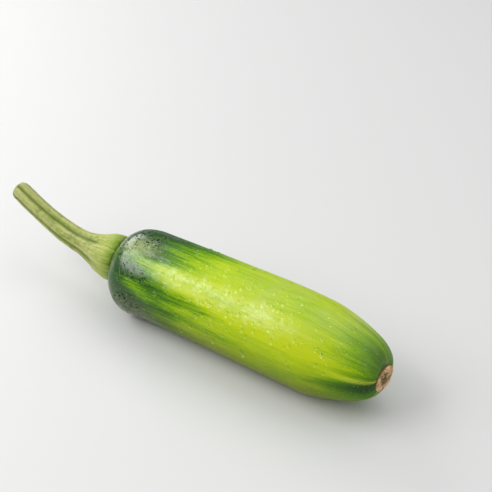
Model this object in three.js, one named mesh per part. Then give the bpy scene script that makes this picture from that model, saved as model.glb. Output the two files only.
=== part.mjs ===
// A whole Korean zucchini (aehobak) lying on its side: the fruit, the ribbed stem it hung from, and the
// corky scar that the flower left at the far end. Millimetres, +Z up; +X runs from the stem end to the
// blossom end. The origin is at the bottom centre of the part's box, on the surface that it lies on.
import * as THREE from "three";

// Driving dimensions.
const FRUIT_LENGTH = 183.5; // between the two flat seats, for the stem and for the scar
const BOW = 1.6; // how far the middle of the fruit bows sideways, towards +Y
const AXIS_HEIGHT = { stem: 26.25, blossom: 27.75 }; // of the fruit's centre line, over the surface
const SEAT_GAP = 0.3; // between the fruit and each piece that sits on its ends
const STEM_LEAN = THREE.MathUtils.degToRad(10); // the plane that the stem curves in leans towards +Y
const STEM_RIBS = 5;
const SCAR_RADIUS = 8.3;
const SCAR_DROP = 1.2; // the scar's centre lies this far below the fruit's centre line

// The fruit's radius [distance from the stem seat, radius]: blunt shoulders, a barrel that swells a little
// towards the blossom end, and a tapered nose.
const FRUIT_PROFILE = [
  [0, 13.2],
  [1.6, 16.2],
  [4.5, 20.6],
  [9.5, 24.6],
  [16, 26.4],
  [27, 26.8],
  [55, 27.1],
  [85, 27.5],
  [110, 27.8],
  [130, 27.6],
  [145, 26.5],
  [157, 24.1],
  [167, 21.3],
  [175.5, 17.8],
  [181, 14],
  [FRUIT_LENGTH, 9.8],
];

// The stem's radius over its ribs [distance along the stem, radius]: a flared foot and a slim shaft.
const STEM_PROFILE = [
  [0, 12.6],
  [1.2, 14],
  [4, 14.5],
  [8, 14.2],
  [12.5, 13.1],
  [18, 11.2],
  [24, 9.2],
  [31, 7.8],
  [45, 7.2],
  [60, 6.5],
  [75, 6.3],
  [86.5, 5.9],
  [89.3, 5.1],
];

// The stem's centre line in its own plane [distance out from the fruit, rise over the fruit's centre line].
const STEM_LINE = [
  [0, 1.2],
  [13, 1.2],
  [26, 2.3],
  [39, 4.3],
  [53, 8.3],
  [66, 13.4],
  [86, 23],
];

// The depth of the stem's ribs as a share of its radius, at the foot and along the shaft.
const RIB_DEPTH = 0.045;

const smoothPoints = (points, count) =>
  new THREE.SplineCurve(points.map(([a, b]) => new THREE.Vector2(a, b))).getPoints(count);

/** A lathed solid from a profile of [distance along, radius] points, closed on the axis at both ends. */
function turned(profile, sides) {
  const first = profile[0];
  const last = profile[profile.length - 1];
  const outline = [
    new THREE.Vector2(0, first.x),
    ...profile.map((p) => new THREE.Vector2(p.y, p.x)),
    new THREE.Vector2(0, last.x),
  ];
  return new THREE.LatheGeometry(outline, sides);
}

/**
 * Carries a solid that was turned about Y along a centre line, so that Y becomes distance along the line
 * and the section stays square to it. `across` is a direction square to the plane that the line lies in.
 */
function carry(geometry, line, across) {
  const length = line.getLength();
  const at = geometry.getAttribute("position");
  for (let i = 0; i < at.count; i += 1) {
    const share = THREE.MathUtils.clamp(at.getY(i) / length, 0, 1);
    const along = line.getTangentAt(share);
    const upward = new THREE.Vector3().crossVectors(along, across).normalize();
    const centre = line.getPointAt(share);
    centre.addScaledVector(upward, at.getX(i)).addScaledVector(across, at.getZ(i));
    at.setXYZ(i, centre.x, centre.y, centre.z);
  }
  return geometry;
}

/** Widens a turned solid at its ribs, with a cosine that has one crest for each rib. */
function ribbed(geometry, ribs, depth) {
  const at = geometry.getAttribute("position");
  for (let i = 0; i < at.count; i += 1) {
    const angle = Math.atan2(at.getZ(i), at.getX(i));
    const share = 1 - depth + depth * Math.cos(ribs * angle);
    at.setXYZ(i, at.getX(i) * share, at.getY(i), at.getZ(i) * share);
  }
  return geometry;
}

/** Presses whatever reaches below the surface up to it, which leaves the flat patch that the fruit lies on. */
function settled(geometry) {
  const at = geometry.getAttribute("position");
  for (let i = 0; i < at.count; i += 1) {
    at.setZ(i, Math.max(0, at.getZ(i)));
  }
  return geometry;
}

const piece = (name, geometry, color, roughness) => {
  const material = new THREE.MeshStandardMaterial({ color, roughness, metalness: 0 });
  geometry.computeVertexNormals();
  const mesh = new THREE.Mesh(geometry, material);
  mesh.name = name;
  return mesh;
};

// The fruit's bowed centre line. Each end piece sits square to the line's own end.
const stemEnd = new THREE.Vector3(0, 0, AXIS_HEIGHT.stem);
const blossomEnd = new THREE.Vector3(FRUIT_LENGTH, 0, AXIS_HEIGHT.blossom);
const bowed = stemEnd.clone().lerp(blossomEnd, 0.5).add(new THREE.Vector3(0, 2 * BOW, 0));
const fruitLine = new THREE.QuadraticBezierCurve3(stemEnd, bowed, blossomEnd);
const outAtStem = fruitLine.getTangentAt(0).negate();
const outAtBlossom = fruitLine.getTangentAt(1);

function makeFruit() {
  const chord = new THREE.Vector3().subVectors(blossomEnd, stemEnd);
  const bowPlane = new THREE.Vector3(0, 1, 0).cross(chord).normalize();
  const body = turned(smoothPoints(FRUIT_PROFILE, 40), 48);
  return piece("fruit", settled(carry(body, fruitLine, bowPlane)), 0x8bb32a, 0.38);
}

function makeStem() {
  const leaning = new THREE.Vector3(0, Math.sin(STEM_LEAN), Math.cos(STEM_LEAN));
  const across = new THREE.Vector3().crossVectors(leaning, outAtStem).normalize();
  const rise = new THREE.Vector3().crossVectors(outAtStem, across);
  const line = new THREE.CatmullRomCurve3(
    STEM_LINE.map(([out, up]) => stemEnd.clone().addScaledVector(outAtStem, out).addScaledVector(rise, up)),
  );
  const shaft = ribbed(turned(smoothPoints(STEM_PROFILE, 30), 6 * STEM_RIBS), STEM_RIBS, RIB_DEPTH);
  const stem = piece("stem", carry(shaft, line, across), 0x9cab4a, 0.6);
  stem.position.addScaledVector(outAtStem, SEAT_GAP);
  return stem;
}

function makeBlossomScar() {
  // A thin disc with a rounded rim and a shallow dish in its face.
  const face = [
    [0, SCAR_RADIUS - 0.3],
    [0.7, SCAR_RADIUS],
    [1.6, SCAR_RADIUS - 0.3],
    [2.3, SCAR_RADIUS - 1.4],
    [2.1, SCAR_RADIUS - 2.8],
    [1.3, SCAR_RADIUS - 4.6],
    [1.1, SCAR_RADIUS - 6.5],
  ];
  const disc = turned(smoothPoints(face, 14), 32);
  const scar = piece("blossom_scar", disc, 0xb08a5c, 0.85);
  scar.quaternion.setFromUnitVectors(new THREE.Vector3(0, 1, 0), outAtBlossom);
  scar.position.copy(blossomEnd).addScaledVector(outAtBlossom, SEAT_GAP);
  scar.position.z -= SCAR_DROP;
  return scar;
}

const zucchini = new THREE.Group();
zucchini.add(makeFruit(), makeStem(), makeBlossomScar());

// Centres the part over its origin.
const reach = new THREE.Box3().setFromObject(zucchini, true);
const middle = reach.getCenter(new THREE.Vector3());
zucchini.position.set(-middle.x, -middle.y, -reach.min.z);

export default zucchini;
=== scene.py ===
"""A whole Korean zucchini, lying wet on a pale floor in soft studio light."""

import math

import bpy
import numpy as np
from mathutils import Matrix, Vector


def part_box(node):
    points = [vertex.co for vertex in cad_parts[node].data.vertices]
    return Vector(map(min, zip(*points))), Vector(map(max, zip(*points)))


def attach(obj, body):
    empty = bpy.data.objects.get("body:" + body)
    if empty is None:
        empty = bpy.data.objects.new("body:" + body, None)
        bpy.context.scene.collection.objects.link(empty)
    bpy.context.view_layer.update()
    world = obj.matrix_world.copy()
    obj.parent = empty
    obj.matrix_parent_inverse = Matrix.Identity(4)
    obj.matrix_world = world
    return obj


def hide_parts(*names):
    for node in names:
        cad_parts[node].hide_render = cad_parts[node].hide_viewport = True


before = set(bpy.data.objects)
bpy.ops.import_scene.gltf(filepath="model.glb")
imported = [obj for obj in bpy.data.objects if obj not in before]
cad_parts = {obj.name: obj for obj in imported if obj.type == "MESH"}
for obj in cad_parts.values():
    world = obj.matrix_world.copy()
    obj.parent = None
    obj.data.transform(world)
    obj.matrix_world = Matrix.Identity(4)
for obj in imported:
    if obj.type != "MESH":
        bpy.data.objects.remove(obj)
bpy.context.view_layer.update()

MM = 0.001
TAU = 2 * math.pi

# The fruit's own sizes, in millimetres.
FRUIT_LENGTH = 183.5
BOW = 1.6
SCAR_HALF_THICKNESS = 1.45
SCAR_DROP = 1.2  # the scar's centre lies this far below the fruit's centre line
SEAT_GAP = 0.3  # between the fruit and the stem that sits on its end
MEAN_RADIUS = 27  # of the fruit, for turning an angle into a distance over its skin
STEM_END_DROP = 1.5  # the centre line is this much lower at the stem end
STEM_LEAN = math.radians(10)
STEM_RIBS = 5
FRUIT_PROFILE = [
    (0, 12.6), (0.5, 14.8), (1.6, 16.9), (4.5, 20.8), (9.5, 24.7), (16, 26.5), (27, 26.8), (55, 27.1),
    (85, 27.5), (110, 27.8), (130, 27.6), (145, 26.5), (157, 24.1), (167, 21.3), (175.5, 17.8),
    (180.4, 14.3), (182.5, 11.7), (183.3, 9.9), (FRUIT_LENGTH, 8.4),
]
STEM_LENGTH = 89.4
STEM_PROFILE = [
    (0, 12.2), (0.5, 13.6), (1.6, 14.3), (4, 14.6), (8, 14.3), (12.5, 13.2), (18, 11.2), (24, 9.2), (31, 7.8),
    (45, 7.2), (60, 6.5), (75, 6.3), (83, 6.2), (88.2, 5.6), (STEM_LENGTH, 4.6),
]
STEM_LINE = [(0, 1.2), (13, 1.2), (26, 2.3), (39, 4.3), (53, 8.3), (66, 13.4), (86, 23)]

scar_low, scar_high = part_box("blossom_scar")
blossom_end = np.array((scar_low + scar_high) / 2) / MM - (SCAR_HALF_THICKNESS, 0, -SCAR_DROP)
stem_end = blossom_end - (FRUIT_LENGTH, 0, STEM_END_DROP)


# ---------------------------------------------------------------- shapes

def through(points, at):
    """A smooth curve through [place, value] points, read at places: cubic pieces whose slopes are the
    mean of the slopes on both sides of each point, so that the curve never overshoots much."""
    x, y = np.array(points, float).T
    chord = np.diff(y) / np.diff(x)
    slope = np.concatenate([chord[:1], (chord[1:] + chord[:-1]) / 2, chord[-1:]])
    i = np.clip(np.searchsorted(x, at, side="right") - 1, 0, len(x) - 2)
    width = x[i + 1] - x[i]
    t = (at - x[i]) / width
    return (
        (2 * t**3 - 3 * t**2 + 1) * y[i] + (t**3 - 2 * t**2 + t) * width * slope[i]
        + (3 * t**2 - 2 * t**3) * y[i + 1] + (t**3 - t**2) * width * slope[i + 1]
    )


def smoothstep(low, high, x):
    """0 below low, 1 above high, and a smooth rise between them."""
    t = np.clip((x - low) / (high - low), 0, 1)
    return t * t * (3 - 2 * t)


def bump(x, centre, width):
    """A bell: 1 at the centre, and about a third at one width away from it."""
    return np.exp(-((x - centre) / width) ** 2)


def bell_at(angle, degrees, half):
    """A bell in the angle round the fruit: 1 at that many degrees, about a third at half of them away."""
    away = np.degrees(np.abs((angle - math.radians(degrees) + math.pi) % TAU - math.pi))
    return bump(away, 0, half)


def unit(v):
    return v / np.linalg.norm(v, axis=-1, keepdims=True)


def fruit_line(s):
    """Centre of the fruit s millimetres from its stem end, and its frame there: a straight line that bows
    sideways as a parabola. Returns the centre, the direction along, the sideways and the upward one."""
    t = np.asarray(s, float) / FRUIT_LENGTH
    chord = blossom_end - stem_end
    centre = stem_end + t[..., None] * chord
    centre[..., 1] += 4 * BOW * t * (1 - t)
    along = np.broadcast_to(chord, centre.shape).copy()
    along[..., 1] += 4 * BOW * (1 - 2 * t)
    along = unit(along)
    side = unit(np.cross(np.array([0.0, 0, 1]), along))
    return centre, along, side, np.cross(along, side)


def fruit_radius(s, angle):
    """The fruit's radius: its profile, five faint flats that fade towards the middle, a slightly fuller
    belly under the nose and a fuller shoulder low at the stem end, and shallow dents grown into the skin."""
    r = through(FRUIT_PROFILE, s)
    ends = bump(s, 12, 26) + 0.8 * bump(s, 168, 22)
    r = r * (1 + 0.006 * ends * np.cos(5 * (angle - 0.4)))
    r = r + 0.9 * bump(s, 150, 16) * bump(np.cos(angle + 2.0), 1, 0.5)
    r = r + 1.1 * bump(s, 12, 11) * bump(np.cos(angle + 2.2), 1, 0.45)
    wave = np.sin(s / 11.0 + 2.2 * np.cos(angle)) * np.cos(3 * angle + s / 37.0)
    wave = wave + 0.7 * np.sin(s / 7.3 - 1.7 * np.sin(2 * angle) + 1.1)
    return r + 0.10 * wave * smoothstep(3, 20, s) * smoothstep(FRUIT_LENGTH, FRUIT_LENGTH - 20, s)


def fruit_point(s, angle, lift=0.0):
    """The point on the fruit's skin at that station and angle (0 sideways, a quarter turn up), pressed
    flat where it lies on the surface, and lift millimetres out from it."""
    centre, _, side, up = fruit_line(s)
    r = (fruit_radius(s, angle) + lift)[..., None]
    p = centre + r * (np.cos(angle)[..., None] * side + np.sin(angle)[..., None] * up)
    p[..., 2] = np.maximum(p[..., 2], 0.0)
    return p


def smooth_piece(name, verts, faces, fields):
    """A smooth mesh object from points in millimetres, faces, and fields that hold one number or one
    vector for each point."""
    mesh = bpy.data.meshes.new(name)
    mesh.from_pydata((verts * MM).tolist(), [], faces)
    mesh.polygons.foreach_set("use_smooth", np.ones(len(faces), bool))
    for key, values in fields.items():
        vector = values.ndim == 2
        attribute = mesh.attributes.new(key, "FLOAT_VECTOR" if vector else "FLOAT", "POINT")
        attribute.data.foreach_set("vector" if vector else "value", values.astype(np.float32).ravel())
    piece = bpy.data.objects.new(name, mesh)
    bpy.context.scene.collection.objects.link(piece)
    return piece


def rows_and_ends(values):
    """Values on a grid as one list, with the mean of the first row and of the last row after them."""
    return np.concatenate([values.reshape(-1, *values.shape[2:]), values[:1].mean(1), values[-1:].mean(1)])


def mesh_from_grid(name, points, fields):
    """A mesh from a grid of points [row, place in the row], in millimetres: quads between rows, closed
    around each row, and a fan of triangles to a middle point at each end. fields maps an attribute's name
    to its values on the grid."""
    rows, cols = points.shape[:2]
    index = np.arange(rows * cols).reshape(rows, cols)
    following = np.roll(index, -1, axis=1)
    quads = np.stack([index[:-1], following[:-1], following[1:], index[1:]], -1).reshape(-1, 4)
    start_fan = np.stack([np.full(cols, rows * cols), following[0], index[0]], -1)
    end_fan = np.stack([index[-1], following[-1], np.full(cols, rows * cols + 1)], -1)
    faces = quads.tolist() + start_fan.tolist() + end_fan.tolist()
    fields = {key: rows_and_ends(values) for key, values in fields.items()}
    return smooth_piece(name, rows_and_ends(points), faces, fields)


def grid(stations, around):
    """Stations by angles, as two arrays of the same shape."""
    angle = np.arange(around) / around * TAU
    return np.meshgrid(stations, angle, indexing="ij")


def eased(start, end, count):
    """Stations from start to end that crowd together at both ends."""
    t = np.linspace(0, 1, count)
    t = 0.45 * t + 0.55 * (1 - np.cos(math.pi * t)) / 2
    return start + (end - start) * t


# ---------------------------------------------------------------- pieces

# How far the dark green of each end fades out along the fruit at each angle: [angle in degrees, how much
# further than the rest, half width].
STEM_END_REACH = 66
STEM_END_TONGUES = [
    (44, -10, 9), (79, 26, 11), (92, -10, 6), (110, -6, 7), (126, -34, 9), (144, 22, 7), (170, -8, 6),
    (184, 2, 8), (205, 12, 10), (232, -24, 8), (262, 20, 10), (288, -30, 9), (316, 16, 9), (343, -28, 9),
    (10, 18, 10), (28, -12, 6),
]
BLOSSOM_END_REACH = 34
BLOSSOM_END_TONGUES = [
    (58, -8, 12), (78, -7, 6), (95, -3, 7), (112, -4, 6), (138, 4, 7), (150, -3, 4), (163, -16, 5),
    (181, 5, 6), (196, -4, 6), (214, 5, 9), (240, -6, 7), (262, 5, 9), (290, -6, 8), (316, 5, 9),
    (345, -6, 8), (16, 5, 9),
]
# Faint broad stripes, darker or lighter than the rest of the skin; the two strong dark bands at 177 and
# 200 degrees, low on the side, are painted shade: [angle in degrees, tone, half width].
STRIPES_AND_PAINTED_SHADE = [
    (82, 0.08, 18), (106, 0.09, 11), (128, -0.04, 9), (150, -0.10, 9), (177, 0.17, 11), (200, 0.14, 17),
    (250, -0.05, 10), (285, 0.08, 12), (322, -0.04, 12), (0, 0.08, 12), (35, -0.03, 10),
]
# Pale ridges that gather at the scar: [angle in degrees, strength, half width].
RIDGES = [(165, 1.68, 4), (72, 0.6, 3), (236, 0.96, 5), (300, 0.96, 5), (10, 0.96, 5)]


def bells_around(angle, places):
    """The sum of one bell for each place: [angle in degrees, height, half width]."""
    return sum(height * bell_at(angle, at, half) for at, height, half in places)


def film_share(s, angle):
    """How much of the skin is under water: a thin film all over, a thicker one along the side that faces
    the light and all round the stem end, and next to none on the upper back edge."""
    lit_side = bell_at(angle, 122, 27) * smoothstep(155, 105, s)
    back_edge = bell_at(angle, 58, 17)
    stem_end_film = smoothstep(54, 14, s) * (1 - 0.95 * back_edge) * (1 - 0.75 * bell_at(angle, 158, 22))
    nose = bump(s, 164, 12) * bell_at(angle, 68, 12)
    dry_edge = back_edge * smoothstep(160, 140, s)
    return np.clip(0.18 - 0.17 * dry_edge + 0.62 * lit_side + 0.85 * stem_end_film + 0.35 * nose, 0, 1)


def make_fruit():
    """The fruit: its profile carried round its bowed centre line. Its fields say where each point is on
    the straightened fruit and how strongly it takes part in each look: the dark of the two ends, the pale
    ridges by the scar, the painted shade on the underside, the broad stripes with their bands of painted
    shade, the film of water and the painted sheen on the upper flank and the stem end."""
    first, last = [0, 0.25, 0.5, 1.0], [181.2, 182.0, 182.6, 183.1, 183.4, FRUIT_LENGTH]
    s, angle = grid(np.concatenate([first, eased(1.6, 180.4, 330), last]), 252)
    points = fruit_point(s, angle)
    straight = np.stack([MEAN_RADIUS * np.cos(angle), MEAN_RADIUS * np.sin(angle), s], -1)
    wobble = 2.6 * np.sin(16 * angle + 2.0) + 0.9 * np.sin(29 * angle) + 0.5 * np.sin(47 * angle + 1.0)
    fanned = angle - 0.28 * np.sin(angle - math.radians(115)) * smoothstep(12, 55, s)
    reach = STEM_END_REACH + bells_around(fanned, STEM_END_TONGUES) + wobble
    stem_dark = np.clip(1.05 - (s - 10) / reach, 0, 1) ** 1.15
    stem_dark *= 1 - 0.70 * bump(s, 28, 11) * bell_at(fanned, 157, 7)
    stem_dark *= 1 - 0.55 * bump(s, 24, 13) * bell_at(angle, 117, 12)
    stem_dark += 0.28 * bump(s, 31, 10) * bell_at(angle, 115, 7)
    reach = BLOSSOM_END_REACH + bells_around(angle, BLOSSOM_END_TONGUES) + 0.6 * wobble
    blossom_dark = np.clip(1.0 - (FRUIT_LENGTH - s) / reach, 0, 1) ** 1.3
    blossom_dark *= 0.60 + 0.30 * bump(np.cos(angle - math.radians(183)), 1, 0.025)
    # Painted shade: the skin darkens and greys as it turns to face down, with a grey cast for the floor's
    # reflection.
    underside_shade = smoothstep(0.32, -0.60, np.sin(angle)) * smoothstep(2, 25, s) * smoothstep(FRUIT_LENGTH, 150, s)
    # Stripes, and painted shade in the strong dark bands low on the side.
    stripe_and_shade = bells_around(angle, STRIPES_AND_PAINTED_SHADE)
    # Painted sheen: a pale whitish tone where the wet sheen lies, over the upper flank and most of all on the
    # glare patch at the stem end.
    painted_sheen = bell_at(angle, 88, 42) * smoothstep(55, 115, s) + 2.2 * bump(s, 20, 12) * bell_at(angle, 109, 13)
    ridge = bells_around(angle, RIDGES) * smoothstep(156, 178, s)
    return mesh_from_grid("fruit_skin", points, {
        "straight": straight, "stem_dark": stem_dark, "blossom_dark": blossom_dark, "ridge": ridge,
        "underside_shade": underside_shade, "stripe_and_shade": stripe_and_shade, "wet": film_share(s, angle), "painted_sheen": painted_sheen,
    })


def rib_groove(along, angle):
    """How deep in a groove between two ribs of the stem: 0 on a rib's crest, 1 at the bottom."""
    return 1 - np.abs(np.cos(STEM_RIBS * angle / 2 + 0.12 * np.sin(along / 19.0)))


def stem_section(along, angle):
    """The stem's radius: its profile, five rounded ribs with sharp grooves between them, a few finer
    ridges on each rib, and knobs where the ribs spread at the foot."""
    r = through(STEM_PROFILE, along)
    foot = bump(along, 3, 9)
    depth = 0.145 * smoothstep(4, 26, along) * (1 - 0.5 * bump(along, STEM_LENGTH, 7))
    fine = 0.010 * np.sin(25 * angle + along / 17.0) + 0.007 * np.sin(43 * angle - along / 9.0)
    knobs = foot * (0.035 * np.cos(STEM_RIBS * angle) + 0.02 * np.cos(2 * angle + 1.0))
    lumps = 0.012 * np.sin(along / 2.9 + 3 * np.sin(2 * angle)) * np.sin(3 * angle + along / 7.0)
    under = 0.035 * foot * (1 - np.cos(angle))
    return r * (1 + 0.015 - depth * rib_groove(along, angle) ** 1.25 + fine + knobs + lumps - under)


def make_stem():
    """The stem: its section carried along a line that rises in a leaning plane, closed at the cut end by a
    face with a raised rim and a sunken pith."""
    fine = np.linspace(0, STEM_LINE[-1][0], 800)
    rise_fine = through(STEM_LINE, fine)
    arc = np.concatenate([[0], np.cumsum(np.hypot(np.diff(fine), np.diff(rise_fine)))])
    length = arc[-1]
    axis_out = -unit(np.array([FRUIT_LENGTH, 4 * BOW, STEM_END_DROP]))
    lean = np.array([0.0, math.sin(STEM_LEAN), math.cos(STEM_LEAN)])
    across = unit(np.cross(lean, axis_out))
    rise = np.cross(axis_out, across)

    first, last = [0, 0.3, 0.8, 1.4], [85.5, 86.8, 87.9, 88.7, 89.1, 89.3]
    body = np.concatenate([first, np.linspace(2.2, 84.0, 150), last]) * (length / STEM_LENGTH)
    face = np.array([0.93, 0.84, 0.72, 0.60, 0.50, 0.40, 0.30, 0.20, 0.10])
    dish = np.array([0.10, 0.02, -0.15, -0.30, -0.55, -1.0, -1.5, -1.8, -1.9])
    s, angle = grid(np.concatenate([body, np.full(len(face), body[-1])]), 150)
    shrink = np.concatenate([np.ones(len(body)), face])[:, None]
    r = stem_section(s * STEM_LENGTH / length, angle) * shrink
    place = s + np.concatenate([np.zeros(len(body)), dish])[:, None]

    def on_line(at):
        out = np.interp(at, arc, fine)
        up = np.interp(at, arc, rise_fine)
        past = np.maximum(at - length, 0)
        return out + past, up

    out, up = on_line(place)
    ahead, up_ahead = on_line(np.minimum(place + 0.5, length))
    behind, up_behind = on_line(np.maximum(place - 0.5, 0))
    slope = np.arctan2(up_ahead - up_behind, ahead - behind)
    slope[place < 1] = 0
    upward = -np.sin(slope)[..., None] * axis_out + np.cos(slope)[..., None] * rise
    centre = stem_end + SEAT_GAP * axis_out + out[..., None] * axis_out + up[..., None] * rise
    points = centre + r[..., None] * (np.cos(angle)[..., None] * upward + np.sin(angle)[..., None] * across)
    groove = rib_groove(s, angle) * smoothstep(2, 24, s)
    cut = np.concatenate([np.zeros(len(body)), 1 - face])[:, None] + np.zeros_like(s)
    straight = np.stack([8 * np.cos(angle), 8 * np.sin(angle), s], -1)
    return mesh_from_grid("ribbed_stem", points, {"straight": straight, "groove": groove, "cut": cut})


# The scar's rings, from under the skin to its middle [height over its seat, radius], and the way it faces.
SCAR_RINGS = [
    (-2.25, 8.265), (-0.8, 8.1225), (0.15, 8.075), (0.45, 8.0275), (0.75, 7.885), (1.0, 7.6),
    (1.175, 7.1725), (1.25, 6.65), (1.225, 6.1275), (1.1, 5.605), (0.925, 5.0825), (0.75, 4.56),
    (0.65, 4.0375), (0.625, 3.515), (0.65, 2.9925), (0.625, 2.47), (0.5, 1.995), (0.2, 1.615),
    (-0.25, 1.235), (-0.55, 0.855), (-0.7, 0.38),
]
SCAR_FACING = (1.0, -0.07, -0.07)


def make_scar():
    """The corky scar: rings from the skin over a raised, uneven rim and down into a sunken middle."""
    out, radius = np.array(SCAR_RINGS).T
    ring, angle = grid(np.arange(len(out)), 240)
    ring = ring.astype(int)
    rough = (
        0.55 * np.sin(5 * angle + 0.6) + 0.45 * np.sin(9 * angle + 2.1)
        + 0.40 * np.sin(17 * angle + 0.4 * ring)
        + 0.35 * np.sin(29 * angle + 1.3 * ring) + 0.5 * np.sin(3 * angle + 4.0)
    )
    rim = bump(radius[ring], 7.1, 1.9)
    twist = np.sin(2 * angle + 0.55 * ring + 0.8) * bump(radius[ring], 4.0, 2.0)
    crumbs = 0.17 * np.sin(37 * angle + 2.7 * ring) * np.sin(1.9 * ring + 4 * angle)
    unevenness = 0.22 * out[ring] * rough * rim + crumbs * smoothstep(0, 3, ring) + 0.40 * twist
    r = radius[ring] + 0.24 * rough * smoothstep(2.0, 7.0, radius[ring]) * smoothstep(0, 3, ring)
    chord = unit(np.array(SCAR_FACING))
    side = unit(np.cross(np.array([0.0, 0, 1]), chord))
    up = np.cross(chord, side)
    points = (
        blossom_end - (0, 0, SCAR_DROP) + (out[ring] + unevenness + 0.1)[..., None] * chord
        + r[..., None] * (np.cos(angle)[..., None] * side + np.sin(angle)[..., None] * up)
    )
    return mesh_from_grid("corky_scar", points, {"height": unevenness, "middle": radius[ring] / radius[0]})


def make_drops(name, seeds, rings, around):
    """Water drops lying on the skin. seeds holds one row for each drop: station, angle, half length down
    the slope, half width, height. Each is a dome whose outline wobbles, closed underneath by a floor just
    under the skin."""
    seeds = np.array(seeds, float)
    count = len(seeds)
    rng = np.random.default_rng(11)
    phase = rng.uniform(0, TAU, (count, 3))
    turn = rng.normal(0, 0.35, count)
    rho = np.sin(np.linspace(0.12, 1, rings) * math.pi / 2)[::-1]
    rho = np.concatenate([[1.0], rho])
    lift = np.concatenate([[-0.12], np.sqrt(np.clip(1 - rho[1:] ** 2, 0, 1)) ** 1.2])
    v = np.arange(around) / around * TAU
    wobble = (
        1 + 0.12 * np.cos(2 * v[None] + phase[:, :1]) + 0.08 * np.cos(3 * v[None] + phase[:, 1:2])
        + 0.04 * np.cos(5 * v[None] + phase[:, 2:])
    )
    down = rho[None, :, None] * (seeds[:, 2:3] * wobble * np.cos(v))[:, None, :]
    wide = rho[None, :, None] * (seeds[:, 3:4] * wobble * np.sin(v))[:, None, :]
    c, t = np.cos(turn)[:, None, None], np.sin(turn)[:, None, None]
    down, wide = c * down - t * wide, t * down + c * wide
    sense = np.where(np.cos(seeds[:, 1]) < 0, 1.0, -1.0)[:, None, None]
    station = seeds[:, 0][:, None, None] + wide
    angle = seeds[:, 1][:, None, None] + sense * down / MEAN_RADIUS
    sag = 1 + 0.35 * np.cos(v)[None, None, :] * (rho * (1 - rho) * 2)[None, :, None]
    height = np.where(
        lift[None, :, None] < 0, -0.10, -0.02 + seeds[:, 4][:, None, None] * lift[None, :, None] * sag
    )
    points = fruit_point(station, angle, height)
    tops = points[:, -1].mean(1, keepdims=True)
    floors = points[:, 0].mean(1, keepdims=True)
    verts = np.concatenate([points.reshape(count, -1, 3), tops, floors], 1)
    per = verts.shape[1]
    index = np.arange((rings + 1) * around).reshape(rings + 1, around)
    nxt = np.roll(index, -1, 1)
    quads = np.stack([index[:-1], nxt[:-1], nxt[1:], index[1:]], -1).reshape(-1, 4)
    top = np.stack([index[-1], np.roll(index[-1], -1), np.full(around, per - 2)], -1)
    floor = np.stack([np.roll(index[0], -1), index[0], np.full(around, per - 1)], -1)
    starts = np.arange(count)[:, None, None] * per
    quads = quads[None] + starts
    tris = np.concatenate([top, floor])[None] + starts
    flipped = sense[:, 0, 0] < 0
    quads[flipped] = quads[flipped][:, :, ::-1]
    tris[flipped] = tris[flipped][:, :, ::-1]
    faces = quads.reshape(-1, 4).tolist() + tris.reshape(-1, 3).tolist()
    every_drop = np.ones((count, 1, 1))
    lower = every_drop * (rho[:, None] * np.cos(v))
    outer = every_drop * (rho[:, None] + 0 * v)
    # How strongly each drop's painted glow shows: less near the dark ends.
    painted_glow = (smoothstep(12, 70, seeds[:, 0]) * smoothstep(183, 160, seeds[:, 0]))[:, None, None] + 0 * outer
    fields = {}
    for key, values in (("lower", lower), ("outer", outer), ("painted_glow", painted_glow)):
        fields[key] = np.concatenate([values.reshape(count, -1), np.zeros((count, 2))], 1).ravel()
    return smooth_piece(name, verts.reshape(-1, 3), faces, fields)


# ---------------------------------------------------------------- materials

def new_material(name):
    """An empty node material with its output and a Principled BSDF, already joined."""
    material = bpy.data.materials.new(name)
    material.use_nodes = True
    tree = material.node_tree
    tree.nodes.clear()
    out = tree.nodes.new("ShaderNodeOutputMaterial")
    skin = tree.nodes.new("ShaderNodeBsdfPrincipled")
    tree.links.new(skin.outputs["BSDF"], out.inputs["Surface"])
    return material, tree, skin, out


def set_input(tree, node, key, value):
    """Gives a socket a number, a colour or another node's socket."""
    socket = node.inputs[key]
    if isinstance(value, bpy.types.NodeSocket):
        tree.links.new(value, socket)
    elif isinstance(value, tuple) and len(value) == 3 and socket.type == "RGBA":
        socket.default_value = (*value, 1.0)
    else:
        socket.default_value = value


def math_node(tree, kind, a, b=0.0, c=0.0, clamp=False):
    node = tree.nodes.new("ShaderNodeMath")
    node.operation = kind
    node.use_clamp = clamp
    for i, value in enumerate((a, b, c)):
        set_input(tree, node, i, value)
    return node.outputs[0]


def ramp(tree, value, low, high, to_low=0.0, to_high=1.0):
    """value from low to high, eased onto to_low to to_high and held there beyond both ends."""
    node = tree.nodes.new("ShaderNodeMapRange")
    node.interpolation_type = "SMOOTHSTEP"
    for key, number in (("Value", value), ("From Min", low), ("From Max", high), ("To Min", to_low),
                        ("To Max", to_high)):
        set_input(tree, node, key, number)
    return node.outputs["Result"]


def blend_colours(tree, share, first, second):
    """The first colour where share is 0, and the second where it is 1."""
    node = tree.nodes.new("ShaderNodeMix")
    node.data_type = "RGBA"
    set_input(tree, node, 0, share)
    set_input(tree, node, 6, first)
    set_input(tree, node, 7, second)
    return node.outputs[2]


def layered(tree, colour, layers):
    """A colour with layers laid over it in turn: [share, colour]."""
    for share, over in layers:
        colour = blend_colours(tree, share, colour, over)
    return colour


def swings(tree, parts):
    """The sum of values, each taken from its middle and weighed: [value, middle, weight]."""
    total = 0.0
    for value, middle, weight in parts:
        total = math_node(tree, "MULTIPLY_ADD", math_node(tree, "SUBTRACT", value, middle), weight, total)
    return total


def relief(tree, strength, distance, height, beneath=None):
    """A bump of that height, in metres, over another one or over the plain surface."""
    node = tree.nodes.new("ShaderNodeBump")
    set_input(tree, node, "Strength", strength)
    set_input(tree, node, "Distance", distance)
    set_input(tree, node, "Height", height)
    if beneath is not None:
        set_input(tree, node, "Normal", beneath)
    return node.outputs[0]


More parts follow.
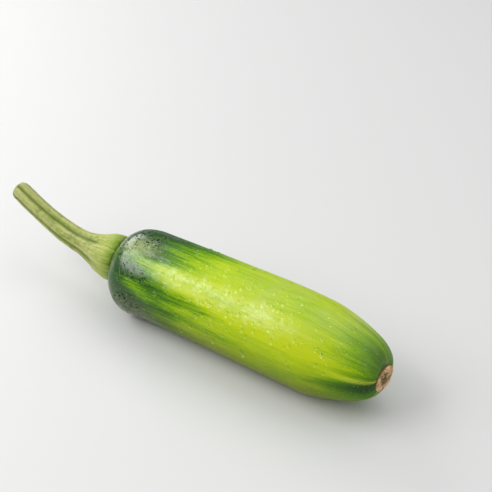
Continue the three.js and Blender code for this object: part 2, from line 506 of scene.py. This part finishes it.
def field(tree, name, vector=False):
    """One of the piece's own fields."""
    node = tree.nodes.new("ShaderNodeAttribute")
    node.attribute_name = name
    return node.outputs["Vector" if vector else "Fac"]


def object_place(tree):
    return tree.nodes.new("ShaderNodeTexCoord").outputs["Object"]


def noise(tree, place, scale, detail=2.0, roughness=0.5, distortion=0.0):
    node = tree.nodes.new("ShaderNodeTexNoise")
    for key, value in (("Vector", place), ("Scale", scale), ("Detail", detail), ("Roughness", roughness),
                       ("Distortion", distortion)):
        set_input(tree, node, key, value)
    return node.outputs["Fac"]


def group_node(tree, group, **values):
    node = tree.nodes.new("ShaderNodeGroup")
    node.node_tree = group
    for key, value in values.items():
        set_input(tree, node, key.replace("_", " "), value)
    return node


def new_group(name, inputs, outputs):
    """A shader node group with its named sockets. Returns the group, its inputs and its output node."""
    group = bpy.data.node_groups.new(name, "ShaderNodeTree")
    for way, sockets in (("INPUT", inputs), ("OUTPUT", outputs)):
        for label, kind, value in sockets:
            socket = group.interface.new_socket(label, in_out=way, socket_type=f"NodeSocket{kind}")
            if value is not None:
                socket.default_value = value
    start = group.nodes.new("NodeGroupInput")
    end = group.nodes.new("NodeGroupOutput")
    return group, start.outputs, end


def make_streak_group():
    """Fine lines that run along the piece: noise read on its straightened place, squeezed across and drawn
    out along. Fibres is fine and sharp, Bands is broad and soft."""
    group, given, end = new_group(
        "lengthwise streaks",
        [("Straight", "Vector", None), ("Fineness", "Float", 1.0), ("Drawn out", "Float", 14.0)],
        [("Fibres", "Float", None), ("Bands", "Float", None)],
    )
    squeeze = group.nodes.new("ShaderNodeVectorMath")
    squeeze.operation = "MULTIPLY"
    scale = group.nodes.new("ShaderNodeCombineXYZ")
    set_input(group, scale, 0, given["Fineness"])
    set_input(group, scale, 1, given["Fineness"])
    set_input(group, scale, 2, math_node(group, "DIVIDE", given["Fineness"], given["Drawn out"]))
    group.links.new(given["Straight"], squeeze.inputs[0])
    group.links.new(scale.outputs[0], squeeze.inputs[1])
    fibres = noise(group, squeeze.outputs[0], 1.1, 4.0, 0.62)
    bands = noise(group, squeeze.outputs[0], 0.28, 2.0, 0.5, 0.4)
    group.links.new(ramp(group, fibres, 0.38, 0.62), end.inputs["Fibres"])
    group.links.new(ramp(group, bands, 0.32, 0.68), end.inputs["Bands"])
    return group


def make_speck_group():
    """Scattered round specks: cells of a given size, most of them left empty, each with a dot of its own
    size in the middle."""
    group, given, end = new_group(
        "specks",
        [("Place", "Vector", None), ("Per metre", "Float", 500.0), ("Dot", "Float", 0.25),
         ("Share", "Float", 0.5)],
        [("Specks", "Float", None)],
    )
    cells = group.nodes.new("ShaderNodeTexVoronoi")
    set_input(group, cells, "Scale", given["Per metre"])
    group.links.new(given["Place"], cells.inputs["Vector"])
    parts = group.nodes.new("ShaderNodeSeparateColor")
    group.links.new(cells.outputs["Color"], parts.inputs[0])
    size = math_node(group, "MULTIPLY_ADD", parts.outputs[1], 0.8, 0.4)
    size = math_node(group, "MULTIPLY", given["Dot"], size)
    dot = ramp(group, math_node(group, "DIVIDE", cells.outputs["Distance"], size), 0.6, 1.1, 1.0, 0.0)
    kept = math_node(group, "LESS_THAN", parts.outputs[0], given["Share"])
    group.links.new(math_node(group, "MULTIPLY", dot, kept), end.inputs["Specks"])
    return group


# The skin's greens, from the light middle of the fruit to its dark ends.
SKIN_TONES = [
    (0.00, (0.500, 0.600, 0.012)), (0.22, (0.370, 0.520, 0.006)), (0.45, (0.175, 0.345, 0.004)),
    (0.68, (0.066, 0.190, 0.006)), (1.00, (0.026, 0.080, 0.016)),
]
PALE_LIME = (0.660, 0.720, 0.060)
# Painted shade for the underside, greyed by the floor's reflection.
PAINTED_UNDERSIDE_SHADE = (0.125, 0.142, 0.040)
# Pale colour of the painted sheen.
PAINTED_SHEEN = (0.48, 0.56, 0.24)
PALE_PORE = (0.42, 0.56, 0.16)
DARK_SPECK = (0.006, 0.016, 0.006)


def skin_material(streaks, specks):
    """Waxy wet skin: yellow-green with lime bands and pale fibres, dark tongues at both ends, pale pores
    all over and dark specks at the stem end, under a film of water that is thin in places. Painted shade
    darkens the underside and bands low on the side, and a pale painted sheen lies on the upper flank and
    the stem end."""
    material, tree, skin, _ = new_material("wet zucchini skin")
    straight = field(tree, "straight", vector=True)
    lines = group_node(tree, streaks, Straight=straight, Fineness=0.9, Drawn_out=16.0)
    broad = group_node(tree, streaks, Straight=straight, Fineness=0.45, Drawn_out=9.0)
    fibres, bands = lines.outputs["Fibres"], broad.outputs["Bands"]

    place = object_place(tree)
    stem_dark = field(tree, "stem_dark")
    mottling = noise(tree, place, 60.0, 2.0, 0.5)
    flecks = noise(tree, place, 1300.0, 2.0, 0.6)
    shift = swings(tree, [
        (bands, 0.55, 0.20), (fibres, 0.5, 0.22), (mottling, 0.5, 0.25), (flecks, 0.5, 0.45),
    ])
    swing = math_node(tree, "MULTIPLY_ADD", ramp(tree, stem_dark, 0.0, 0.35), 0.45, 0.6)
    dark = math_node(tree, "ADD", stem_dark, field(tree, "blossom_dark"), clamp=True)
    tone = math_node(tree, "MULTIPLY_ADD", shift, swing, math_node(tree, "ADD", dark, field(tree, "stripe_and_shade")))
    tones = tree.nodes.new("ShaderNodeValToRGB")
    stops = tones.color_ramp.elements
    for stop, (at, green) in zip((stops[0], stops[1]), (SKIN_TONES[0], SKIN_TONES[-1])):
        stop.position, stop.color = at, (*green, 1)
    for at, green in SKIN_TONES[1:-1]:
        stops.new(at).color = (*green, 1)
    tree.links.new(math_node(tree, "ADD", tone, 0.13), tones.inputs[0])

    pores = group_node(tree, specks, Place=place, Per_metre=900.0, Dot=0.36, Share=0.45).outputs[0]
    dots = group_node(tree, specks, Place=place, Per_metre=680.0, Dot=0.52, Share=0.85).outputs[0]
    clusters = ramp(tree, noise(tree, place, 70.0, 1.0), 0.35, 0.46)
    # Dark specks gather thickly where the painted sheen lies.
    clusters = math_node(tree, "MAXIMUM", clusters, ramp(tree, field(tree, "painted_sheen"), 0.7, 1.3))
    dots = math_node(tree, "MULTIPLY", dots, clusters)
    dots = math_node(tree, "MULTIPLY", dots, ramp(tree, stem_dark, 0.45, 0.75, 0.0, 0.95))
    ridge = math_node(tree, "MULTIPLY", field(tree, "ridge"), ramp(tree, fibres, 0.1, 0.7, 0.05, 0.55))
    # Painted shade on the underside.
    underside_shade = math_node(tree, "MULTIPLY", field(tree, "underside_shade"), ramp(tree, bands, 0.2, 0.8, 0.72, 0.54))
    # Painted sheen laid over the skin's colour.
    painted_sheen = math_node(tree, "MULTIPLY", field(tree, "painted_sheen"), ramp(tree, mottling, 0.35, 0.65, 0.10, 0.24))
    set_input(tree, skin, "Base Color", layered(tree, tones.outputs[0], [
        (ridge, PALE_LIME), (underside_shade, PAINTED_UNDERSIDE_SHADE), (painted_sheen, PAINTED_SHEEN),
        (math_node(tree, "MULTIPLY", pores, 0.28), PALE_PORE), (dots, DARK_SPECK),
    ]))

    film = noise(tree, place, 90.0, 3.0, 0.55, 0.8)
    set_input(tree, skin, "Roughness", ramp(tree, film, 0.35, 0.70, 0.34, 0.48))
    wetness = ramp(tree, film, 0.44, 0.56, 0.55, 1.0)
    wetness = math_node(tree, "MAXIMUM", wetness, ramp(tree, stem_dark, 0.2, 0.6))
    wetness = math_node(tree, "MULTIPLY", wetness, math_node(tree, "SUBTRACT", 1.0, dots))
    wetness = math_node(tree, "MULTIPLY", wetness, field(tree, "wet"))
    set_input(tree, skin, "Coat Weight", wetness)
    set_input(tree, skin, "Coat Roughness", 0.20)
    set_input(tree, skin, "Coat IOR", 1.6)
    set_input(tree, skin, "Specular IOR Level", 0.02)
    set_input(tree, skin, "Subsurface Weight", 0.12)
    skin.inputs["Subsurface Radius"].default_value = (1.0, 1.4, 0.3)
    set_input(tree, skin, "Subsurface Scale", 0.0015)

    height = math_node(tree, "MULTIPLY_ADD", fibres, 0.5, math_node(tree, "MULTIPLY", pores, -0.5))
    grain = relief(tree, 0.30, 0.00025, height)
    ripple = noise(tree, place, 120.0, 2.0, 0.5, 0.5)
    set_input(tree, skin, "Normal", relief(tree, 0.55, 0.0009, ripple, grain))
    rivulets = ramp(tree, noise(tree, place, 210.0, 2.0, 0.55, 1.0), 0.46, 0.60)
    film_height = math_node(tree, "MULTIPLY_ADD", rivulets, 0.05, noise(tree, place, 85.0, 1.0, 0.5, 0.8))
    film_height = math_node(tree, "MULTIPLY_ADD", noise(tree, place, 700.0, 2.0, 0.6), 0.05, film_height)
    smoother = ramp(tree, stem_dark, 0.35, 0.75, 1.0, 0.30)
    film_height = math_node(tree, "MULTIPLY", film_height, smoother)
    set_input(tree, skin, "Coat Normal", relief(tree, 0.8, 0.0010, film_height))
    return material


def stem_material(streaks, specks):
    """Green stem: light olive ribs with pale fibres, dark grooves, a yellow-green foot with painted shade
    at its seat on the fruit, and a paler fibrous face where it was cut."""
    material, tree, skin, _ = new_material("ribbed green stem")
    straight = field(tree, "straight", vector=True)
    lines = group_node(tree, streaks, Straight=straight, Fineness=2.2, Drawn_out=18.0)
    fibres, bands = lines.outputs["Fibres"], lines.outputs["Bands"]
    parts = tree.nodes.new("ShaderNodeSeparateXYZ")
    tree.links.new(straight, parts.inputs[0])
    along = parts.outputs[2]
    place = object_place(tree)
    mottling = noise(tree, place, 320.0, 3.0, 0.65)
    foot = ramp(tree, along, 22.0, 4.0)
    # Painted shade at the seat, where the stem meets the fruit.
    junction_shade = math_node(tree, "MULTIPLY", ramp(tree, along, 9.0, 0.5), ramp(tree, bands, 0.2, 0.9, 0.9, 0.4))
    groove = ramp(tree, field(tree, "groove"), 0.30, 0.95)
    tan = ramp(tree, noise(tree, place, 70.0, 3.0, 0.6), 0.55, 0.80, 0.0, 0.22)
    dots = group_node(tree, specks, Place=place, Per_metre=700.0, Dot=0.30, Share=0.30).outputs[0]
    colour = layered(tree, blend_colours(tree, bands, (0.37, 0.46, 0.05), (0.62, 0.66, 0.19)), [
        (ramp(tree, mottling, 0.50, 0.64, 0.0, 0.65), (0.68, 0.68, 0.25)),
        (ramp(tree, mottling, 0.48, 0.36, 0.0, 0.65), (0.20, 0.26, 0.02)),
        (ramp(tree, along, 58.0, 88.0, 0.0, 0.55), (0.74, 0.72, 0.27)),
        (math_node(tree, "MULTIPLY", fibres, 0.5), (0.60, 0.63, 0.30)),
        (math_node(tree, "MULTIPLY", foot, 0.75), (0.50, 0.58, 0.12)),
        (junction_shade, (0.20, 0.36, 0.015)),
        (math_node(tree, "MULTIPLY", groove, 0.85), (0.13, 0.22, 0.012)),
        (tan, (0.34, 0.25, 0.10)),
        (math_node(tree, "MULTIPLY", dots, 0.5), (0.08, 0.12, 0.03)),
    ])
    cut = field(tree, "cut")
    rings = noise(tree, place, 900.0, 3.0, 0.6)
    face = blend_colours(tree, rings, (0.42, 0.44, 0.20), (0.66, 0.66, 0.42))
    face = blend_colours(tree, ramp(tree, cut, 0.45, 0.75), face, (0.30, 0.27, 0.12))
    colour = blend_colours(tree, ramp(tree, cut, 0.02, 0.10), colour, face)
    set_input(tree, skin, "Base Color", colour)
    set_input(tree, skin, "Roughness", ramp(tree, fibres, 0.2, 0.8, 0.42, 0.60))
    set_input(tree, skin, "Coat Weight", ramp(tree, bands, 0.3, 0.8, 0.04, 0.15))
    set_input(tree, skin, "Specular IOR Level", 0.25)
    set_input(tree, skin, "Coat Roughness", 0.22)
    set_input(tree, skin, "Subsurface Weight", 0.08)
    skin.inputs["Subsurface Radius"].default_value = (1.0, 1.2, 0.4)
    set_input(tree, skin, "Subsurface Scale", 0.001)
    grain = math_node(tree, "MULTIPLY_ADD", rings, 0.25, fibres)
    set_input(tree, skin, "Normal", relief(tree, 0.8, 0.0007, grain))
    return material


def cork_material():
    """Dry cork: tan, with painted shade in its cracks and low places and in the sunken middle, and a dark
    brown painted shadow line where it meets the skin."""
    material, tree, skin, _ = new_material("dry cork")
    place = object_place(tree)
    crumb = noise(tree, place, 1100.0, 4.0, 0.65)
    patch = noise(tree, place, 420.0, 3.0, 0.6)
    middle = field(tree, "middle")
    inner = blend_colours(tree, ramp(tree, patch, 0.38, 0.62), (0.20, 0.11, 0.045), (0.72, 0.54, 0.24))
    tan = blend_colours(tree, ramp(tree, crumb, 0.34, 0.62), (0.60, 0.33, 0.13), (0.98, 0.63, 0.31))
    colour = layered(tree, tan, [
        (ramp(tree, patch, 0.42, 0.66, 0.0, 0.7), (0.94, 0.72, 0.40)),
        (ramp(tree, middle, 0.66, 0.42), inner),
        # Painted shade in the sunken middle.
        (ramp(tree, middle, 0.24, 0.10), (0.060, 0.034, 0.016)),
        # Painted shade in the cracks and low places of the cork.
        (ramp(tree, field(tree, "height"), -0.35, 0.25, 0.75, 0.0), (0.10, 0.055, 0.022)),
        # Painted shadow line where the scar meets the skin.
        (ramp(tree, middle, 0.955, 0.985, 0.0, 0.9), (0.050, 0.032, 0.014)),
    ])
    set_input(tree, skin, "Base Color", colour)
    set_input(tree, skin, "Roughness", ramp(tree, crumb, 0.3, 0.7, 0.72, 0.92))
    grain = math_node(tree, "MULTIPLY_ADD", patch, 0.6, crumb)
    set_input(tree, skin, "Normal", relief(tree, 0.9, 0.0007, grain))
    return material


def water_material():
    """Clear water. Light on its way to a surface passes straight through it, so a drop throws no dark
    shadow on the skin beneath; painted shade dims its upper rim and outline, and a painted glow stands
    for the light that gathers inside its lower rim."""
    material, tree, water, out = new_material("clear water")
    water.inputs["Roughness"].default_value = 0.0
    water.inputs["IOR"].default_value = 1.33
    water.inputs["Transmission Weight"].default_value = 1.0
    outer, lower = field(tree, "outer"), field(tree, "lower")
    # Painted shade on the upper rim and all round the outline.
    painted_rim_shade = math_node(tree, "MULTIPLY", ramp(tree, outer, 0.30, 0.90), ramp(tree, lower, 0.25, -0.60))
    painted_rim_shade = math_node(tree, "MAXIMUM", painted_rim_shade, ramp(tree, outer, 0.86, 1.0, 0.0, 0.45))
    rim_shade_tint = blend_colours(tree, painted_rim_shade, (1.0, 1.0, 1.0), (0.42, 0.62, 0.10))
    set_input(tree, water, "Base Color", rim_shade_tint)
    # A painted glow inside the lower rim, for light the drop would gather there.
    painted_caustic = math_node(tree, "MULTIPLY", ramp(tree, lower, 0.20, 0.75), ramp(tree, outer, 0.98, 0.80))
    painted_caustic = math_node(tree, "MULTIPLY", painted_caustic, field(tree, "painted_glow"))
    painted_caustic_colour = blend_colours(tree, painted_caustic, (0.0, 0.0, 0.0), (0.85, 0.95, 0.20))
    set_input(tree, water, "Emission Color", painted_caustic_colour)
    set_input(tree, water, "Emission Strength", 0.22)
    clear = tree.nodes.new("ShaderNodeBsdfTransparent")
    path = tree.nodes.new("ShaderNodeLightPath")
    mix = tree.nodes.new("ShaderNodeMixShader")
    passing = math_node(tree, "MAXIMUM", path.outputs["Is Shadow Ray"], path.outputs["Is Diffuse Ray"])
    tree.links.new(passing, mix.inputs[0])
    tree.links.new(water.outputs["BSDF"], mix.inputs[1])
    tree.links.new(clear.outputs["BSDF"], mix.inputs[2])
    tree.links.new(mix.outputs[0], out.inputs["Surface"])
    return material


def floor_material():
    """A plain pale floor, with painted shade that darkens it far away from the object."""
    material, tree, surface, _ = new_material("pale floor")
    distance = tree.nodes.new("ShaderNodeVectorMath")
    distance.operation = "LENGTH"
    tree.links.new(object_place(tree), distance.inputs[0])
    # Painted shade: the floor darkens with distance from the object.
    painted_falloff = ramp(tree, distance.outputs["Value"], 0.45, 1.8)
    set_input(tree, surface, "Base Color", blend_colours(tree, painted_falloff, (0.64, 0.64, 0.64), (0.36, 0.36, 0.36)))
    set_input(tree, surface, "Roughness", 0.55)
    return material


# ---------------------------------------------------------------- the object

streaks = make_streak_group()
specks = make_speck_group()

fruit = make_fruit()
fruit.data.materials.append(skin_material(streaks, specks))
stem = make_stem()
stem.data.materials.append(stem_material(streaks, specks))
scar = make_scar()
scar.data.materials.append(cork_material())

# The largest drops: [station, degrees round from the side, half length, half width, height].
LARGE_DROPS = [
    (63, 195, 2.2, 1.3, 0.6), (87, 187, 2.6, 1.4, 0.7), (108, 184, 2.7, 1.6, 0.8), (96, 162, 1.5, 1.2, 0.5),
    (106, 155, 1.6, 1.2, 0.5), (78, 158, 1.3, 1.0, 0.45), (52, 150, 1.3, 0.9, 0.45), (43, 159, 1.2, 0.9, 0.4),
    (103, 125, 1.2, 1.0, 0.4), (88, 143, 1.2, 0.9, 0.4), (94, 172, 1.4, 1.0, 0.45),
    (109, 160, 1.4, 1.0, 0.45), (121, 93, 1.4, 1.0, 0.45), (127, 89, 1.3, 1.0, 0.45),
    (132, 97, 1.2, 1.0, 0.4), (133, 107, 1.1, 0.9, 0.4), (114, 116, 1.1, 0.9, 0.4),
    (111, 142, 1.1, 0.8, 0.35), (155, 144, 1.3, 1.0, 0.45), (152, 142, 1.0, 0.8, 0.4),
    (164, 91, 1.2, 0.9, 0.4), (167, 127, 1.2, 0.9, 0.4), (180, 88, 0.9, 0.7, 0.35),
]


def scattered_drops(count, low, high, spread, power, seed):
    """Drops strewn over the upper side at random, between two half widths: most of them small, and all a
    little longer down the slope."""
    rng = np.random.default_rng(seed)
    station = np.clip(rng.normal(92, 40, count), 16, 178)
    angle = rng.normal(math.radians(120), spread, count)
    angle = np.clip(angle, math.radians(-15), math.radians(245))
    size = low + (high - low) * rng.power(power, count)
    long = size * rng.uniform(1.0, 1.6, count)
    return np.stack([station, angle, long, size, size * rng.uniform(0.42, 0.6, count)], -1)


large = np.array(LARGE_DROPS, float)
large[:, 1] = np.radians(large[:, 1])
drops = [
    make_drops("large_water_drops", large, 9, 30),
    make_drops("small_water_drops", scattered_drops(260, 0.5, 1.35, 0.55, 0.7, 3), 4, 8),
    make_drops("water_beads", scattered_drops(500, 0.20, 0.45, 0.70, 0.45, 5), 3, 8),
]
water = water_material()
for piece in drops:
    piece.data.materials.append(water)

for piece, node, slot in ((fruit, "fruit", "skin"), (stem, "stem", "stem"), (scar, "blossom_scar", "cork")):
    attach(piece, "root")
    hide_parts(node)
for piece in drops:
    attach(piece, "root")


# ---------------------------------------------------------------- floor, light and camera

bpy.ops.mesh.primitive_plane_add(size=6)
floor = bpy.context.object
floor.name = "floor"
floor.data.materials.append(floor_material())

CAMERA_AZIMUTH = math.radians(35.06)
CAMERA_ELEVATION = math.radians(36)
CAMERA_DISTANCE = 0.798
CAMERA_AIM = Vector((stem_end[0] + 30.9, stem_end[1] + 87.1, 0)) * MM
CAMERA_LENS = 87.8
LIGHT_AIM = Vector((0, 0, 0.02))
SOFTBOX_WHITE = (1.0, 0.995, 0.98)


def direction(azimuth, elevation):
    """Unit vector towards the viewer at that azimuth and elevation: azimuth 0 looks along +Y."""
    return Vector((
        math.sin(azimuth) * math.cos(elevation), -math.cos(azimuth) * math.cos(elevation), math.sin(elevation)
    ))


def soft_light(name, azimuth, elevation, distance, width, height, power, colour):
    """A rectangular softbox that faces the object from that direction."""
    data = bpy.data.lights.new(name, "AREA")
    data.shape = "RECTANGLE"
    data.size, data.size_y = width, height
    data.energy = power
    data.color = colour
    lamp = bpy.data.objects.new(name, data)
    way = direction(math.radians(azimuth), math.radians(elevation))
    lamp.location = LIGHT_AIM + way * distance
    lamp.rotation_euler = way.to_track_quat("Z", "Y").to_euler()
    bpy.context.scene.collection.objects.link(lamp)


# The front softbox is a frame of panes, three across and two up.
for column in range(3):
    for row in range(2):
        azimuth, elevation = -52 + 21 * (column - 1), 41 + 18 * (row - 0.5)
        name = f"front softbox {column}{row}"
        soft_light(name, azimuth, elevation, 1.3, 0.38, 0.32, 1.8, SOFTBOX_WHITE)
soft_light("left softbox", -114, 28, 1.3, 0.80, 0.46, 5.2, SOFTBOX_WHITE)
soft_light("back window", 160, 62, 1.6, 1.6, 1.2, 6.2, (1.0, 0.99, 0.97))
soft_light("side fill", 70, 34, 1.4, 1.0, 0.8, 3.0, (1.0, 0.98, 0.95))
soft_light("small lamp", -58, 66, 1.3, 0.12, 0.10, 0.4, (1.0, 1.0, 1.0))


def studio_world():
    """A dim room that brightens evenly from the horizon to the ceiling."""
    world = bpy.data.worlds.new("studio")
    world.use_nodes = True
    tree = world.node_tree
    height = tree.nodes.new("ShaderNodeSeparateXYZ")
    tree.links.new(tree.nodes.new("ShaderNodeTexCoord").outputs["Generated"], height.inputs[0])
    tree.links.new(ramp(tree, height.outputs[2], 0.0, 1.0, 0.15, 0.62), tree.nodes["Background"].inputs[1])
    tree.nodes["Background"].inputs[0].default_value = (0.97, 0.985, 1.0, 1)
    return world


bpy.context.scene.world = studio_world()

camera_data = bpy.data.cameras.new("camera")
camera_data.lens = CAMERA_LENS
camera_data.sensor_width = 36
camera = bpy.data.objects.new("camera", camera_data)
back = direction(CAMERA_AZIMUTH, CAMERA_ELEVATION)
camera.location = CAMERA_AIM + back * CAMERA_DISTANCE
camera.rotation_euler = back.to_track_quat("Z", "Y").to_euler()
camera_data.clip_start = 0.02
bpy.context.scene.collection.objects.link(camera)
bpy.context.scene.camera = camera
bpy.context.scene.view_settings.view_transform = "Standard"
